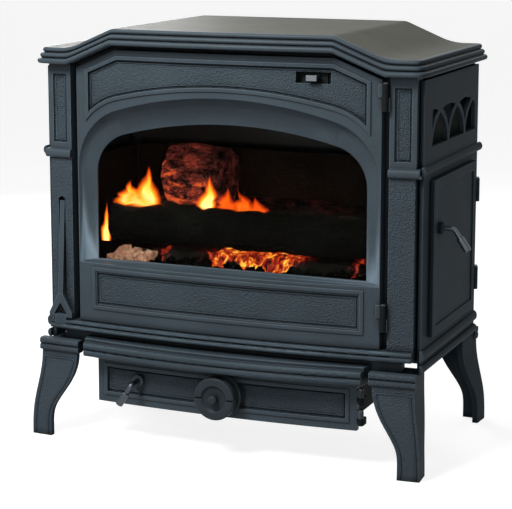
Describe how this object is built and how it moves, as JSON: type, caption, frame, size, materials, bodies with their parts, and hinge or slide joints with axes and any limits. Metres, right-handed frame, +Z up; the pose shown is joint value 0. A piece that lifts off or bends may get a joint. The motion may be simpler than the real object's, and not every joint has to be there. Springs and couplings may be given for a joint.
{
  "type": "wood burning stove",
  "caption": "Free-standing cast-iron wood burning stove on cabriole legs, with a bowed arched glass door, side loading door, spin-wheel ash door and rear flue outlet.",
  "frame": {"origin": "middle of the overall box, at the floor", "axes": "+X to the stove's right, seen from its front; +Y to its back; +Z up"},
  "size_m": [0.76, 0.452, 0.72],
  "materials": {
    "painted_iron": "matt anthracite stove paint",
    "sheet_steel": "matt black",
    "bright_steel": "plain",
    "handle_steel": "satin",
    "firebrick": "rough",
    "rope_seal": "braided",
    "heat_glass": "clear",
    "log_bark": "charred bark",
    "embers": "glowing charcoal and ash"
  },
  "bodies": {
    "stove_body": {"base_plate": "painted_iron", "hearth_shelf": "painted_iron", "front_frame": "painted_iron", "front_ledge": "painted_iron", "left_side_plate": "painted_iron", "right_side_frame": "painted_iron", "back_plate": "painted_iron", "flue_collar": "painted_iron", "top_plate": "painted_iron", "grate": "painted_iron", "log_retainer": "painted_iron", "baffle_plate": "painted_iron", "left_lower_column": "painted_iron", "right_lower_column": "painted_iron", "left_upper_column": "painted_iron", "right_upper_column": "painted_iron", "left_vent_panel": "painted_iron", "right_vent_panel": "painted_iron", "front_left_leg": "painted_iron", "front_right_leg": "painted_iron", "rear_left_leg": "painted_iron", "rear_right_leg": "painted_iron", "rear_heat_shield": "sheet_steel", "ash_box": "sheet_steel", "ash_pan": "sheet_steel", "left_vent_tray": "sheet_steel", "right_vent_tray": "sheet_steel", "flue_collar_bolts": "bright_steel", "leg_bolts": "bright_steel", "front_hinge_pins": "bright_steel", "side_hinge_pins": "bright_steel", "ash_hinge_pins": "bright_steel", "latch_pin": "bright_steel", "floor_bricks": "firebrick", "left_lining": "firebrick", "rear_lining": "firebrick", "side_door_seal": "rope_seal", "logs": "log_bark", "ember_bed": "embers"},
    "front_door": {"front_door": "painted_iron", "door_glass": "heat_glass", "glass_gasket": "rope_seal", "glass_clips": "bright_steel", "glass_clip_screws": "bright_steel", "door_rope_seal": "rope_seal", "slide_guide": "sheet_steel"},
    "air_slide": {"air_slide": "sheet_steel"},
    "latch_lever": {"latch_lever": "painted_iron"},
    "side_door": {"side_door": "painted_iron"},
    "side_handle": {"side_handle": "handle_steel", "side_grip": "handle_steel", "side_latch_cam": "handle_steel"},
    "ash_door": {"ash_door": "painted_iron", "ash_door_seal": "rope_seal", "wheel_spindle": "bright_steel"},
    "ash_handle": {"ash_handle": "handle_steel", "ash_grip": "handle_steel", "ash_latch_cam": "handle_steel"},
    "wheel_washer": {"wheel_washer": "bright_steel"},
    "air_wheel": {"air_wheel": "painted_iron"}
  },
  "joints": [
    {"name": "front_door_hinge", "type": "hinge", "parent": "stove_body", "child": "front_door", "pos_m": [0.261, -0.172, 0.45], "axis": [0, 0, 1], "range_deg": [0, 105]},
    {"name": "air_slide_travel", "type": "slide", "parent": "front_door", "child": "air_slide", "axis": [1, 0, 0], "range_m": [-0.02, 0.02]},
    {"name": "latch_lever_pivot", "type": "hinge", "parent": "stove_body", "child": "latch_lever", "pos_m": [-0.333, -0.173, 0.212], "axis": [1, 0, 0], "range_deg": [0, 40]},
    {"name": "side_door_hinge", "type": "hinge", "parent": "stove_body", "child": "side_door", "pos_m": [0.3265, 0.143, 0.35], "axis": [0, 0, 1], "range_deg": [0, 105]},
    {"name": "side_handle_turn", "type": "hinge", "parent": "side_door", "child": "side_handle", "pos_m": [0.328, -0.078, 0.4], "axis": [1, 0, 0], "range_deg": [-90, 0]},
    {"name": "ash_door_hinge", "type": "hinge", "parent": "stove_body", "child": "ash_door", "pos_m": [0.225, -0.173, 0.108], "axis": [0, 0, 1], "range_deg": [0, 95]},
    {"name": "ash_handle_turn", "type": "hinge", "parent": "ash_door", "child": "ash_handle", "pos_m": [-0.18, -0.184, 0.112], "axis": [0, 1, 0], "range_deg": [0, 90]},
    {"name": "air_wheel_travel", "type": "slide", "parent": "ash_door", "child": "wheel_washer", "axis": [0, -1, 0], "range_m": [-0.00801, 0.00401]},
    {"name": "air_wheel_spin", "type": "hinge", "parent": "wheel_washer", "child": "air_wheel", "pos_m": [-0.022, -0.201, 0.105], "axis": [0, -1, 0], "range_deg": [-720, 360]}
  ],
  "couplings": [
    {"joint": "air_wheel_travel", "follows": "air_wheel_spin", "m_per_rad": 0.00063662}
  ]
}
